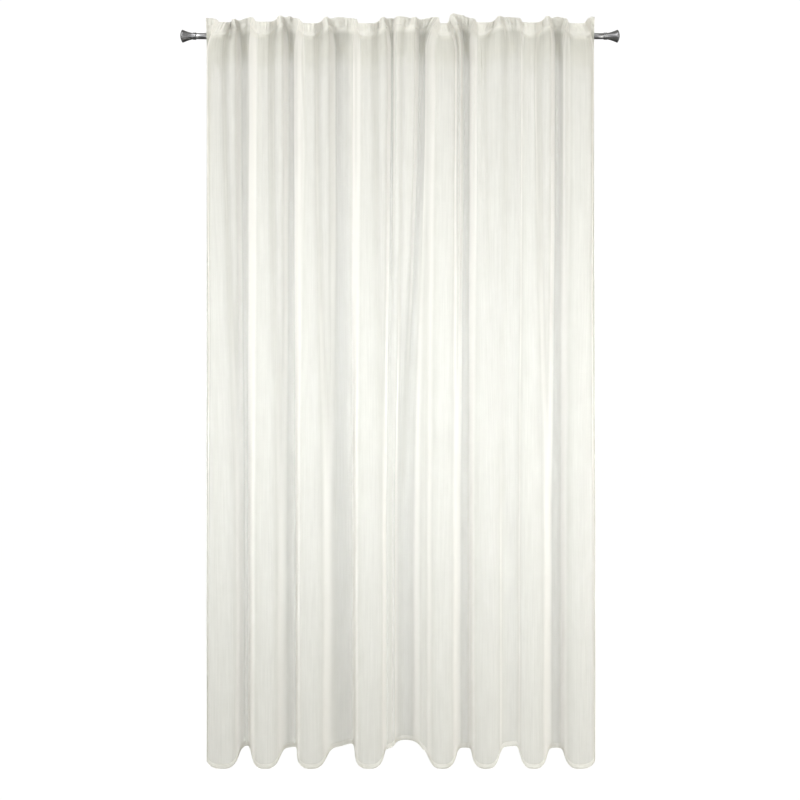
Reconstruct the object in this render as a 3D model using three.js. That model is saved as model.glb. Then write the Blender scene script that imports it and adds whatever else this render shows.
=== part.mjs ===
// Sheer voile curtain gathered on a plain metal rod.
// Millimetres, +Z up, +X to the right and +Y away from the room.
// The origin lies on the rod's axis, halfway along it.
import * as THREE from 'three';

// Driving dimensions
const DROP = 2450;
const CLOTH_THICK = 1.4;
const PIECE_GAP = 0.3;
const HEM_LEVEL = -2390;
const FRONT_DROOP = 54;

const ROD_RADIUS = 10;
const ROD_BORE_RADIUS = 8.8;
const ROD_HALF_LENGTH = 684;
const ROD_SIDES = 32;

const TAPE_THICK = 1;
const TAPE_TOP = 8;
const TAPE_BOTTOM = 52;
const TAPE_END_INSET = 3;

const TAB_THICK = 1;
const TAB_WIDTH = 22;
const TAB_ABOVE_ROD = 4;
const TAB_UPPER_SEWN = 24;
const TAB_LOWER_LEVEL = -46;
const TAB_LOWER_SEWN = 10;
const TAB_BEND_STEPS = 8;

// How far down from the top edge the folds of the upper body and of the hem are reached
const UPPER_AT = 110;
const LOWER_AT = 1850;
const TAPE_ROWS = [TAPE_TOP, 30, TAPE_BOTTOM];
const TAB_ROWS = [80, UPPER_AT, 140];
const BODY_ROWS = [450, 800, 1150, 1500, LOWER_AT, 2150, 2380, DROP];
const ROWS_DOWN = [0, ...TAPE_ROWS, ...TAB_ROWS, ...BODY_ROWS];
const SAMPLES_PER_SPAN = 2;

// Back and front of the folds at each section, as distances from the rod's axis
const DEPTHS = {
  head: { back: -13, front: -70 },
  upper: { back: -13, front: -74 },
  lower: { back: -4, front: -76 },
};

// Rows of numbers under their column names
function table(columns, rows) {
  return rows.map((row) => Object.fromEntries(columns.map((column, index) => [column, row[index]])));
}

// Front folds from left to right: where each flat front starts and ends along the rod in the three
// sections, the height of its top edge, how far forward it reaches as a share of the depth, and how far its
// left corner, middle and right corner droop at the hem
const FRONT_FOLDS = table(
  [
    'headLeft', 'headRight', 'top', 'upperLeft', 'upperRight',
    'lowerLeft', 'lowerRight', 'reach', 'lowerReach', 'leftDroop', 'middleDroop', 'rightDroop',
  ],
  [
    [-597, -568, 29, -640, -588, -634, -537, 1, 1, 0.9, 1.06, 0.8],
    [-475, -429, 30, -470, -434, -495, -400, 1, 1, 0.8, 1.1, 0.8],
    [-320, -279, 25, -316, -283, -344, -245, 1, 1, 0.8, 1.1, 0.8],
    [-134, -92, 25, -126, -89, -152, -54, 1, 1, 0.8, 1.1, 0.8],
    [-12, 8, 56, -13, 3, -30, -14, 0.5, 0.12, -0.07, -0.14, -0.23],
    [135, 155, 25, 122, 184, 90, 186, 1, 1, 0.76, 1.1, 0.8],
    [256, 294, 28, 258, 278, 239, 331, 1, 1, 0.8, 1.1, 0.8],
    [406, 452, 28, 415, 450, 398, 489, 1, 1, 0.8, 1.1, 0.8],
    [563, 610, 25, 572, 641, 548, 636, 1, 1, 0.8, 1.08, 0.9],
  ],
);

// The ruffle of the heading at each back fold between them, as distances along the rod
const RUFFLES = table(
  ['hollow', 'peak', 'notch', 'second', 'flat', 'flatEnd'],
  [
    [-567, -554, -543, -527, -513, -494],
    [-417, -400, -389, -373, -359, -337],
    [-263, -248, -233, -209, -184, -146],
    [-72, -58, -45, -35, -27, -17],
    [32, 52, 64, 82, 109, 131],
    [162, 172, 190, 206, 225, 252],
    [316, 330, 347, 360, 376, 407],
    [477, 490, 507, 526, 540, 560],
  ],
);

// Heights of the same ruffle's top edge above the rod's axis
const RUFFLE_TOPS = table(
  ['peak', 'notch', 'second', 'flat', 'flatEnd'],
  [
    [51, 47, 49, 59, 63],
    [64, 56, 63, 58, 57],
    [60, 52, 60, 58, 57],
    [58, 54, 54, 56, 57],
    [55, 50, 52, 61, 62],
    [70, 69, 66, 58, 57],
    [62, 57, 59, 59, 59],
    [63, 53, 62, 58, 58],
  ],
);

// The back folds below the heading: their ends along the rod, how deep they sink, how high they draw up the
// hem, how far their right end comes forward at the hem, and how much higher it is drawn up than the left
const BACK_FOLDS = table(
  ['upperLeft', 'upperRight', 'upperSink', 'lowerLeft', 'lowerRight', 'lowerSink', 'rise', 'tilt', 'lean'],
  [
    [-533, -506, 1, -531, -504, 1.15, 1.07, -0.05, 0.1],
    [-374, -354, 1, -389, -346, 1.05, 0.95, -0.35, 0.05],
    [-218, -163, 1, -232, -154, 1.2, 1.02, -0.5, 0.28],
    [-31, -23, 0.8, -49, -36, 0.75, 1, 0, 0.1],
    [62, 86, 1, 2, 66, 1.6, 1.33, 0.3, -0.05],
    [210, 230, 1, 195, 237, 1, 1, -0.1, 0],
    [358, 400, 0.4, 338, 395, 0.45, 1.27, 0, 0.12],
    [519, 539, 1, 499, 544, 1, 0.98, -0.1, -0.06],
  ],
);

// How far forward each line of a back fold stands, as a share of the depth, where it lies between the
// fold's ends in the upper body and at the hem, and its share of the droop
const BACK_LINES = {
  hollow: { head: 0.18, upper: 0.5, lower: 0.6, droop: 0.6 },
  peak: { head: 0.5, upper: 0.85, lower: 0.25, droop: 0.02, across: 0 },
  notch: { head: 0, upper: 0, lower: 0.02, droop: 0, upperAcross: 0, across: 0.25 },
  second: { head: 0.25, upper: 0, lower: 0, droop: 0, upperAcross: 1 / 3, across: 0.5 },
  flat: { head: 0, upper: 0, lower: 0.02, droop: 0, upperAcross: 2 / 3, across: 0.75 },
  flatEnd: { head: 0, upper: 0, lower: 0.25, droop: 0.02, upperAcross: 1, across: 1 },
  leftWall: { head: 0.5, upper: 0.5, lower: 0.6, droop: 0.6 },
};

// Below the ruffle the hollow runs on as a valley and the peak as a ridge, each a share of the way from the
// lobe before the fold to the fold's left end
const VALLEY_PLACE = 0.3;
const RIDGE_PLACE = 0.75;

// The panel's side edges, each from its free edge inwards
const EDGE_COLUMNS = ['head', 'headShare', 'top', 'upper', 'upperShare', 'lower', 'lowerShare', 'droop'];
const LEFT_EDGE = table(EDGE_COLUMNS, [
  [-650, 0.1, 56, -648, 0, -642, 0.8, 0.55],
  [-622, 0, 58, -628, 0, -637, 0.86, 0.62],
  [-604, 0.5, 42, -646, 0.5, -632, 0.92, 0.7],
]);
const RIGHT_EDGE = table(EDGE_COLUMNS, [
  [652, 0.1, 60, 650, 0, 648, 0.8, 0.55],
  [636, 0, 63, 632, 0, 643, 0.86, 0.62],
  [620, 0.5, 44, 649, 0.5, 638, 0.92, 0.7],
]);
const FRONT_ACROSS = [0, 0.5, 1];
const LOWER_CORNER_SHARE = 0.9;
const LOWER_CORNER_INSET = 16;

// Middles of the tabs along the rod: at both side edges and on each back fold but the narrow one
const TAB_MIDDLES = [-629, -521, -366, -193, 73, 219, 377, 530, 637];

// An end knob's profile from the end of its spigot to its domed tip, measured from the end of the rod
const FINIAL_PROFILE = table(
  ['along', 'radius'],
  [
    [-24, 0],
    [-24, ROD_BORE_RADIUS - PIECE_GAP],
    [PIECE_GAP, ROD_BORE_RADIUS - PIECE_GAP],
    [PIECE_GAP, 12],
    [11, 12],
    [12, 10.6],
    [18, 11.4],
    [26, 13.6],
    [34, 16.4],
    [40, 18.8],
    [44, 20.6],
    [47, 21],
    [49, 19.4],
    [52, 13.5],
    [53.6, 7],
    [54, 0],
  ],
);

const COLOURS = { voile: 0xe9e8de, tape: 0xf2f1ea, steel: 0x8b8d90 };

function mix(from, to, share) {
  return from + (to - from) * share;
}

function smooth(share) {
  const held = THREE.MathUtils.clamp(share, 0, 1);
  return held * held * (3 - 2 * held);
}

// A step that starts at once and comes to rest softly
function settle(share) {
  const held = THREE.MathUtils.clamp(share, 0, 1);
  return held * (2 - held);
}

function depthAt(section, share) {
  return mix(DEPTHS[section].back, DEPTHS[section].front, share);
}

// A line of the cloth that runs from the top edge to the hem, by its place in each section
function clothLine(places, top, droop) {
  const line = { top, hem: HEM_LEVEL - FRONT_DROOP * droop };
  for (const section of Object.keys(DEPTHS)) {
    line[section] = new THREE.Vector2(places[section].x, depthAt(section, places[section].share));
  }
  return line;
}

function edgeLine(row) {
  const places = {
    head: { x: row.head, share: row.headShare },
    upper: { x: row.upper, share: row.upperShare },
    lower: { x: row.lower, share: row.lowerShare },
  };
  return clothLine(places, row.top, row.droop);
}

function frontFoldLines(fold) {
  const droops = [fold.leftDroop, fold.middleDroop, fold.rightDroop];
  return FRONT_ACROSS.map((across, index) => {
    const rounding = across === 0.5 ? 1 : LOWER_CORNER_SHARE;
    const inset = LOWER_CORNER_INSET * fold.lowerReach * (1 - 2 * across);
    const places = {
      head: { x: mix(fold.headLeft, fold.headRight, across), share: fold.reach },
      upper: { x: mix(fold.upperLeft, fold.upperRight, across), share: fold.reach },
      lower: { x: mix(fold.lowerLeft, fold.lowerRight, across) + inset, share: fold.lowerReach * rounding },
    };
    return clothLine(places, fold.top, droops[index]);
  });
}

// The two walls of a back fold stand between it and the front folds beside it, and at the hem they follow
// how far those come forward and droop
function backFoldLines(index) {
  const fold = BACK_FOLDS[index];
  const before = FRONT_FOLDS[index];
  const after = FRONT_FOLDS[index + 1];
  const ruffle = { ...RUFFLES[index], leftWall: mix(RUFFLES[index].flatEnd, after.headLeft, 0.5) };
  const tops = {
    ...RUFFLE_TOPS[index],
    hollow: mix(before.top, RUFFLE_TOPS[index].peak, 0.5),
    leftWall: mix(RUFFLE_TOPS[index].flatEnd, after.top, 0.5),
  };
  const uppers = {
    hollow: mix(before.upperRight, fold.upperLeft, VALLEY_PLACE),
    peak: mix(before.upperRight, fold.upperLeft, RIDGE_PLACE),
    leftWall: mix(fold.upperRight, after.upperLeft, 0.5),
  };
  const walls = { hollow: before.lowerRight, leftWall: after.lowerLeft };
  const beforeSide = { reach: before.reach, lowerReach: before.lowerReach, droop: before.rightDroop };
  const afterSide = { reach: after.reach, lowerReach: after.lowerReach, droop: after.leftDroop };
  const sides = { hollow: beforeSide, peak: beforeSide, flatEnd: afterSide, leftWall: afterSide };
  const middle = { reach: 1, lowerReach: 1, droop: 1 };
  return Object.entries(BACK_LINES).map(([name, line]) => {
    const wall = walls[name];
    const isWall = wall !== undefined;
    const side = sides[name] ?? middle;
    const across = line.across ?? 0;
    const tilt = fold.tilt * across ** 2;
    const lean = isWall ? 0 : fold.lean * (across - 0.5);
    const reach = isWall ? side.reach : 1;
    const places = {
      head: { x: ruffle[name], share: line.head * reach },
      upper: {
        x: uppers[name] ?? mix(fold.upperLeft, fold.upperRight, line.upperAcross),
        share: mix(1 - fold.upperSink, reach, line.upper),
      },
      lower: {
        x: wall ?? mix(fold.lowerLeft, fold.lowerRight, across),
        share: mix(1 - fold.lowerSink, side.lowerReach, line.lower + tilt),
      },
    };
    return clothLine(places, tops[name], mix(1 - fold.rise, side.droop, line.droop) - lean);
  });
}

function panelLines() {
  const lines = LEFT_EDGE.map(edgeLine);
  FRONT_FOLDS.forEach((fold, index) => {
    lines.push(...frontFoldLines(fold));
    if (index < BACK_FOLDS.length) {
      lines.push(...backFoldLines(index));
    }
  });
  lines.push(...RIGHT_EDGE.map(edgeLine).reverse());
  return lines;
}

// Place of one line of the cloth at a distance down from the top edge
function linePoint(line, down) {
  const plan = new THREE.Vector2();
  if (down < UPPER_AT) {
    plan.lerpVectors(line.head, line.upper, settle(down / UPPER_AT));
  } else {
    plan.lerpVectors(line.upper, line.lower, smooth((down - UPPER_AT) / (LOWER_AT - UPPER_AT)));
  }
  return new THREE.Vector3(plan.x, plan.y, mix(line.top, line.hem, down / DROP));
}

// Uniform cubic B-spline drawn along the guide points, starting and ending on the outer ones
function softCurve(guides, samplesPerSpan) {
  const last = guides.length - 1;
  const before = guides[0].clone().multiplyScalar(2).sub(guides[1]);
  const after = guides[last].clone().multiplyScalar(2).sub(guides[last - 1]);
  const all = [before, ...guides, after];
  const points = [];
  for (let step = 0; step <= last * samplesPerSpan; step += 1) {
    const span = Math.min(Math.floor(step / samplesPerSpan), last - 1);
    const t = step / samplesPerSpan - span;
    const weights = [
      (1 - t) ** 3 / 6,
      (3 * t ** 3 - 6 * t ** 2 + 4) / 6,
      (-3 * t ** 3 + 3 * t ** 2 + 3 * t + 1) / 6,
      t ** 3 / 6,
    ];
    const point = new THREE.Vector3();
    weights.forEach((weight, index) => point.addScaledVector(all[span + index], weight));
    points.push(point);
  }
  return points;
}

const PANEL_LINES = panelLines();

function sectionAt(down) {
  return softCurve(PANEL_LINES.map((line) => linePoint(line, down)), SAMPLES_PER_SPAN);
}

// The section moved towards the wall by a distance measured square to the cloth in plan
function offsetSection(section, distance) {
  return section.map((point, index) => {
    const previous = section[Math.max(index - 1, 0)];
    const next = section[Math.min(index + 1, section.length - 1)];
    const arriving = new THREE.Vector2(point.x - previous.x, point.y - previous.y).normalize();
    const leaving = new THREE.Vector2(next.x - point.x, next.y - point.y).normalize();
    const along = arriving.clone().add(leaving).normalize();
    const solid = arriving.lengthSq() > 0 ? arriving : leaving;
    const widen = distance / Math.max(Math.abs(along.dot(solid)), 0.5);
    return new THREE.Vector3(point.x - along.y * widen, point.y + along.x * widen, point.z);
  });
}

// A closed sheet between two grids of points with the same rows and columns
function sheetGeometry(roomSide, wallSide) {
  const rows = roomSide.length;
  const columns = roomSide[0].length;
  const positions = [...roomSide.flat(), ...wallSide.flat()].flatMap((point) => point.toArray());
  const wallStart = rows * columns;
  const indices = [];
  const addQuad = (a, b, c, d) => indices.push(a, b, c, a, c, d);
  for (let row = 0; row < rows - 1; row += 1) {
    for (let column = 0; column < columns - 1; column += 1) {
      const here = row * columns + column;
      const below = here + columns;
      addQuad(here, below, below + 1, here + 1);
      addQuad(wallStart + here, wallStart + here + 1, wallStart + below + 1, wallStart + below);
    }
  }
  const bottom = (rows - 1) * columns;
  for (let column = 0; column < columns - 1; column += 1) {
    addQuad(column, column + 1, wallStart + column + 1, wallStart + column);
    const low = bottom + column;
    addQuad(low, wallStart + low, wallStart + low + 1, low + 1);
  }
  for (let row = 0; row < rows - 1; row += 1) {
    const left = row * columns;
    const right = left + columns - 1;
    addQuad(left, wallStart + left, wallStart + left + columns, left + columns);
    addQuad(right, right + columns, wallStart + right + columns, wallStart + right);
  }
  const geometry = new THREE.BufferGeometry();
  geometry.setAttribute('position', new THREE.Float32BufferAttribute(positions, 3));
  geometry.setIndex(indices);
  geometry.computeVertexNormals();
  return geometry;
}

function panelGeometry() {
  const sections = ROWS_DOWN.map(sectionAt);
  return sheetGeometry(
    sections.map((section) => offsetSection(section, -CLOTH_THICK / 2)),
    sections.map((section) => offsetSection(section, CLOTH_THICK / 2)),
  );
}

const TAPE_FRONT = CLOTH_THICK / 2 + PIECE_GAP;
const TAPE_BACK = TAPE_FRONT + TAPE_THICK;

function tapeGeometry() {
  const sections = TAPE_ROWS.map(sectionAt);
  const trimmed = (distance) => sections.map((section) => {
    return offsetSection(section, distance).slice(TAPE_END_INSET, -TAPE_END_INSET);
  });
  return sheetGeometry(trimmed(TAPE_FRONT), trimmed(TAPE_BACK));
}

// Rearmost place of a layer behind the cloth, over some rows and between two distances along the rod
function rearmost(rows, layerOffset, from, to) {
  let rear = -Infinity;
  for (const layer of rows.map((down) => offsetSection(sectionAt(down), layerOffset))) {
    for (let index = 1; index < layer.length; index += 1) {
      const [start, end] = [layer[index - 1], layer[index]];
      if (Math.max(start.x, end.x) >= from && Math.min(start.x, end.x) <= to) {
        rear = Math.max(rear, start.y, end.y);
      }
    }
  }
  return rear;
}

// Outline of a strip of even thickness along a path of points
function stripShape(path, thick) {
  const section = path.map((point) => new THREE.Vector3(point.x, point.y, 0));
  const nearSide = offsetSection(section, -thick / 2);
  const farSide = offsetSection(section, thick / 2).reverse();
  return new THREE.Shape([...nearSide, ...farSide].map((point) => new THREE.Vector2(point.x, point.y)));
}

// Angle at which a line from a point touches a circle round the rod's axis, above or below the point's own
function touchAngle(point, radius, turn) {
  return point.angle() + turn * Math.acos(radius / point.length());
}

// A tab: sewn to the tape, over the rod, down behind it and sewn to the panel again
function tabGeometry(middle) {
  const from = middle - TAB_WIDTH / 2;
  const to = middle + TAB_WIDTH / 2;
  const clear = PIECE_GAP + TAB_THICK / 2;
  const tapeSide = rearmost(TAPE_ROWS, TAPE_BACK, from, to) + clear;
  const panelSide = rearmost(TAB_ROWS, CLOTH_THICK / 2, from, to) + clear;
  const bend = ROD_RADIUS + clear;
  const leaves = new THREE.Vector2(tapeSide, ROD_RADIUS + TAB_ABOVE_ROD);
  const returns = new THREE.Vector2(panelSide, TAB_LOWER_LEVEL);
  const bendStart = touchAngle(leaves, bend, -1);
  const bendEnd = touchAngle(returns, bend, 1) - 2 * Math.PI;
  const path = [new THREE.Vector2(leaves.x, leaves.y + TAB_UPPER_SEWN), leaves];
  for (let step = 0; step <= TAB_BEND_STEPS; step += 1) {
    const angle = mix(bendStart, bendEnd, step / TAB_BEND_STEPS);
    path.push(new THREE.Vector2(bend * Math.cos(angle), bend * Math.sin(angle)));
  }
  path.push(returns, new THREE.Vector2(returns.x, returns.y - TAB_LOWER_SEWN));
  const strip = stripShape(path, TAB_THICK);
  const geometry = new THREE.ExtrudeGeometry(strip, { depth: TAB_WIDTH, bevelEnabled: false });
  const axes = new THREE.Matrix4().makeBasis(
    new THREE.Vector3(0, 1, 0),
    new THREE.Vector3(0, 0, 1),
    new THREE.Vector3(1, 0, 0),
  );
  return geometry.applyMatrix4(axes).translate(from, 0, 0);
}

// Profiles are radius against distance along the rod
function rodGeometry() {
  const half = ROD_HALF_LENGTH;
  const profile = [
    new THREE.Vector2(ROD_RADIUS, -half),
    new THREE.Vector2(ROD_RADIUS, half),
    new THREE.Vector2(ROD_BORE_RADIUS, half),
    new THREE.Vector2(ROD_BORE_RADIUS, -half),
    new THREE.Vector2(ROD_RADIUS, -half),
  ];
  return new THREE.LatheGeometry(profile, ROD_SIDES);
}

function finialGeometry() {
  const profile = FINIAL_PROFILE.map(({ along, radius }) => new THREE.Vector2(radius, along));
  return new THREE.LatheGeometry(profile, ROD_SIDES);
}

const materials = {
  voile: new THREE.MeshStandardMaterial({ color: COLOURS.voile, roughness: 0.9, metalness: 0 }),
  tape: new THREE.MeshStandardMaterial({ color: COLOURS.tape, roughness: 0.9, metalness: 0 }),
  steel: new THREE.MeshStandardMaterial({ color: COLOURS.steel, roughness: 0.35, metalness: 1 }),
};

function namedMesh(name, geometry, material) {
  const mesh = new THREE.Mesh(geometry, material);
  mesh.name = name;
  return mesh;
}

const curtain = new THREE.Group();
curtain.add(namedMesh('curtain_panel', panelGeometry(), materials.voile));
curtain.add(namedMesh('heading_tape', tapeGeometry(), materials.tape));

TAB_MIDDLES.forEach((middle, index) => {
  curtain.add(namedMesh(`back_tab_${index + 1}`, tabGeometry(middle), materials.tape));
});

const rod = namedMesh('rod', rodGeometry(), materials.steel);
rod.rotation.z = -Math.PI / 2;
curtain.add(rod);

for (const side of [-1, 1]) {
  const finial = namedMesh(side < 0 ? 'finial_left' : 'finial_right', finialGeometry(), materials.steel);
  finial.position.x = side * ROD_HALF_LENGTH;
  finial.rotation.z = -side * Math.PI / 2;
  curtain.add(finial);
}

export default curtain;
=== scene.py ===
"""Dresses a sheer voile curtain on its rod: cloth, heading tape, back tabs, stitching and satin metal.

The cloth is one surface of two parameters. Guide lines named in the tables below run from the top edge to
the hem, a cubic spline joins them at every height, and the sections at the heading, the upper body and the
hem blend into each other. Tables are in millimetres, meshes in metres, +Z is up and +Y away from the room.
"""
import logging
import math
from dataclasses import dataclass, field
from enum import Enum
from typing import Any, NamedTuple

import bmesh
import bpy
import numpy as np
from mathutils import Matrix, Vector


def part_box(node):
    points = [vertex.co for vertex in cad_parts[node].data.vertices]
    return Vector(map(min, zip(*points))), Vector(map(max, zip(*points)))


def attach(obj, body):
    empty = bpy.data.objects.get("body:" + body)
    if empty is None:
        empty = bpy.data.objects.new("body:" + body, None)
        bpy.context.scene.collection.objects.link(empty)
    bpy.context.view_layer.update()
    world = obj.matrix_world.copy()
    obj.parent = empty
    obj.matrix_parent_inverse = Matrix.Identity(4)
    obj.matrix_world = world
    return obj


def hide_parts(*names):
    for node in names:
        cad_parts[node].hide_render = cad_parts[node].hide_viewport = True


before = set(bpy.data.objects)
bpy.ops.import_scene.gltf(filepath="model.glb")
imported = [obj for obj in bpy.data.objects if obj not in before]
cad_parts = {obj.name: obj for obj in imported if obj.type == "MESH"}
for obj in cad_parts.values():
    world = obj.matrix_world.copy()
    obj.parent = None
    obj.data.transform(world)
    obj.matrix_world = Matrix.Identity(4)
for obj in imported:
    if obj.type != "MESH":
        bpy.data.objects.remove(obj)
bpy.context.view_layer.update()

LOG = logging.getLogger("curtain")
MM = 0.001
BODY = "root"
CLOTH_MAP = "cloth"

Array = np.ndarray
Colour = tuple[float, float, float]
Span = tuple[float, float]

WHITE: Colour = (1.0, 1.0, 1.0)
WARM: Colour = (1.0, 0.985, 0.93)
COOL: Colour = (0.9, 0.95, 1.0)


class Slot(Enum):
    """Material slots of the record."""

    VOILE = "voile"
    TAPE = "tape"
    STEEL = "steel"


class Side(Enum):
    """The two ends of the rod, as the sign of their place along it."""

    LEFT = -1
    RIGHT = 1


class Guide(NamedTuple):
    """A line of cloth from the top edge to the hem: its place along the rod in the heading, the upper body
    and the hem, its share of the depth towards the room in each, its top height and share of the droop."""

    head: float
    head_share: float
    top: float
    upper: float
    upper_share: float
    lower: float
    lower_share: float
    droop: float


class FrontFold(NamedTuple):
    """A lobe that stands towards the room: both ends of its flat front in each section, the height of its
    top edge, how far forward it reaches above and at the hem, and how far its left corner, middle and right
    corner droop there."""

    head_left: float
    head_right: float
    top: float
    upper_left: float
    upper_right: float
    lower_left: float
    lower_right: float
    reach: float
    lower_reach: float
    left_droop: float
    middle_droop: float
    right_droop: float


class BackFold(NamedTuple):
    """The cloth between two lobes: the places and heights of its ruffle's lines at the heading, the ends
    and depth of its back in the upper body and at the hem, how high it draws up the hem, how far its right
    end comes forward there, and how much higher that end is drawn up than the left."""

    hollow: float
    peak: float
    notch: float
    second: float
    flat: float
    flat_end: float
    tops: tuple[float, float, float, float, float]
    upper_left: float
    upper_right: float
    upper_sink: float
    lower_left: float
    lower_right: float
    lower_sink: float
    rise: float
    tilt: float
    lean: float


class BackLine(NamedTuple):
    """How far forward a line of a back fold stands in each section, its share of the droop, where it lies
    between the fold's ends at the hem, and its share of the fold's lean."""

    head: float
    upper: float
    lower: float
    droop: float
    across: float
    lift: float


class Crease(NamedTuple):
    """A soft ridge in the cloth: its place across the flat cloth, where it starts and ends below the top
    edge, how far it stands out, half its width, and how far its lower end leans across."""

    along: float
    start: float
    end: float
    height: float
    half_width: float
    lean: float


class Wave(NamedTuple):
    """A sine over the cloth: its height, the distance over which it turns by one radian, and its start."""

    height: float
    pitch: float
    start: float = 0.0


FRONT_FOLDS = (
    FrontFold(-597, -568, 29, -640, -588, -634, -537, 1, 1, 0.9, 1.06, 0.8),
    FrontFold(-475, -429, 30, -470, -434, -495, -400, 1, 1, 0.8, 1.1, 0.8),
    FrontFold(-320, -279, 25, -316, -283, -344, -245, 1, 1, 0.8, 1.1, 0.8),
    FrontFold(-134, -92, 25, -126, -89, -152, -54, 1, 1, 0.8, 1.1, 0.8),
    FrontFold(-12, 8, 56, -13, 3, -30, -14, 0.5, 0.12, -0.07, -0.14, -0.23),
    FrontFold(135, 155, 25, 122, 184, 90, 186, 1, 1, 0.76, 1.1, 0.8),
    FrontFold(256, 294, 28, 258, 278, 239, 331, 1, 1, 0.8, 1.1, 0.8),
    FrontFold(406, 452, 28, 415, 450, 398, 489, 1, 1, 0.8, 1.1, 0.8),
    FrontFold(563, 610, 25, 572, 641, 548, 636, 1, 1, 0.8, 1.08, 0.9),
)

BACK_FOLDS = (
    BackFold(
        -567, -554, -543, -527, -513, -494, (51, 47, 49, 59, 63),
        -533, -506, 1, -531, -504, 1.15, 1.07, -0.05, 0.1,
    ),
    BackFold(
        -417, -400, -389, -373, -359, -337, (64, 56, 63, 58, 57),
        -374, -354, 1, -389, -346, 1.05, 0.95, -0.35, 0.05,
    ),
    BackFold(
        -263, -248, -233, -209, -184, -146, (60, 52, 60, 58, 57),
        -218, -163, 1, -232, -154, 1.2, 1.02, -0.5, 0.28,
    ),
    BackFold(
        -72, -58, -45, -35, -27, -17, (58, 54, 54, 56, 57),
        -31, -23, 0.8, -49, -36, 0.75, 1, 0, 0.1,
    ),
    BackFold(
        32, 52, 64, 82, 109, 131, (55, 50, 52, 61, 62),
        62, 86, 1, 2, 66, 1.6, 1.33, 0.3, -0.05,
    ),
    BackFold(
        162, 172, 190, 206, 225, 252, (70, 69, 66, 58, 57),
        210, 230, 1, 195, 237, 1, 1, -0.1, 0,
    ),
    BackFold(
        316, 330, 347, 360, 376, 407, (62, 57, 59, 59, 59),
        358, 400, 0.4, 338, 395, 0.45, 1.27, 0, 0.12,
    ),
    BackFold(
        477, 490, 507, 526, 540, 560, (63, 53, 62, 58, 58),
        519, 539, 1, 499, 544, 1, 0.98, -0.1, -0.06,
    ),
)

# A ruffle's hollow and peak run on below it, at these shares of the way from the lobe to the back fold.
VALLEY_PLACE = 0.3
RIDGE_PLACE = 0.75

HOLLOW_WALL = BackLine(0.18, 0.5, 0.6, 0.6, 0, 0)
LEFT_WALL = BackLine(0.5, 0.5, 0.6, 0.6, 0, 0)
RUFFLE_LINES = (
    BackLine(0.5, 0.85, 0.25, 0.02, 0, -0.5),
    BackLine(0, 0, 0.02, 0, 0.25, -0.25),
    BackLine(0.25, 0, 0, 0, 0.5, 0),
    BackLine(0, 0, 0.02, 0, 0.75, 0.25),
    BackLine(0, 0, 0.25, 0.02, 1, 0.5),
)

LEFT_EDGE = (
    Guide(-650, 0.1, 56, -648, 0, -642, 0.8, 0.55),
    Guide(-622, 0, 58, -628, 0, -637, 0.86, 0.62),
    Guide(-604, 0.5, 42, -646, 0.5, -632, 0.92, 0.7),
)
RIGHT_EDGE = (
    Guide(620, 0.5, 44, 649, 0.5, 638, 0.92, 0.7),
    Guide(636, 0, 63, 632, 0, 643, 0.86, 0.62),
    Guide(652, 0.1, 60, 650, 0, 648, 0.8, 0.55),
)

# A lobe has three guide lines, and a back fold has a wall on each side of its ruffle's lines.
FRONT_LINES = 3
LINES_PER_FOLD = FRONT_LINES + len(RUFFLE_LINES) + 2
FIRST_PEAK = len(LEFT_EDGE) + FRONT_LINES + 1

CREASES = (
    Crease(62, 40, 250, 2.6, 7, 38),
    Crease(118, 60, 420, 1.5, 9, 14),
    Crease(196, 90, 640, 1.2, 7, -14),
    Crease(262, 40, 420, 1.8, 8, 16),
    Crease(367, 80, 700, 1.1, 10, -10),
    Crease(463, 40, 380, 1.7, 7, 18),
    Crease(582, 70, 560, 1.3, 9, -20),
    Crease(681, 40, 460, 1.9, 8, 14),
    Crease(793, 60, 760, 1.4, 9, 30),
    Crease(867, 30, 520, 2.0, 8, -24),
    Crease(973, 60, 640, 1.5, 9, 18),
    Crease(1092, 40, 480, 1.7, 8, -12),
    Crease(1209, 80, 620, 1.2, 10, 16),
    Crease(1309, 40, 400, 1.9, 7, 22),
    Crease(1409, 60, 660, 1.3, 9, -18),
    Crease(1515, 40, 440, 1.8, 8, 12),
    Crease(1633, 90, 580, 1.2, 9, -16),
    Crease(1727, 50, 460, 1.5, 8, 10),
)


def mix(start: Any, end: Any, share: Any) -> Any:
    """The value a share of the way from start to end."""
    return start + (end - start) * share


def ease(values: Array, start: float, end: float) -> Array:
    """A soft step from 0 at start to 1 at end, the cubic 3t squared less 2t cubed.

    Args:
        values: where to take the step.
        start: the value at which it leaves 0.
        end: the value at which it reaches 1.

    Returns:
        The step at each value.
    """
    share = np.clip((values - start) / (end - start), 0, 1)
    return share * share * (3 - 2 * share)


def settle(values: Array, end: float) -> Array:
    """A step from 0 at 0 to 1 at end that starts at once and comes to rest softly, 2t less t squared.

    Args:
        values: where to take the step.
        end: the value at which it reaches 1.

    Returns:
        The step at each value.
    """
    share = np.clip(values / end, 0, 1)
    return share * (2 - share)


def bell(values: Array) -> Array:
    """A bell curve of height 1 at 0: e to the power of minus the square."""
    return np.exp(-(values**2))


def waves(values: Array, *parts: Wave) -> Array:
    """The sum of some sines at each value."""
    return sum(part.height * np.sin(values / part.pitch + part.start) for part in parts)


def unit(vectors: Array) -> Array:
    """Vectors along the last axis, brought to length one."""
    return vectors / np.linalg.norm(vectors, axis=-1, keepdims=True)


def path_lengths(points: Array) -> Array:
    """Distance from the first point of a path in a plane to each of its points."""
    return np.concatenate([[0.0], np.cumsum(np.hypot(*np.diff(points, axis=0).T))])


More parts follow.
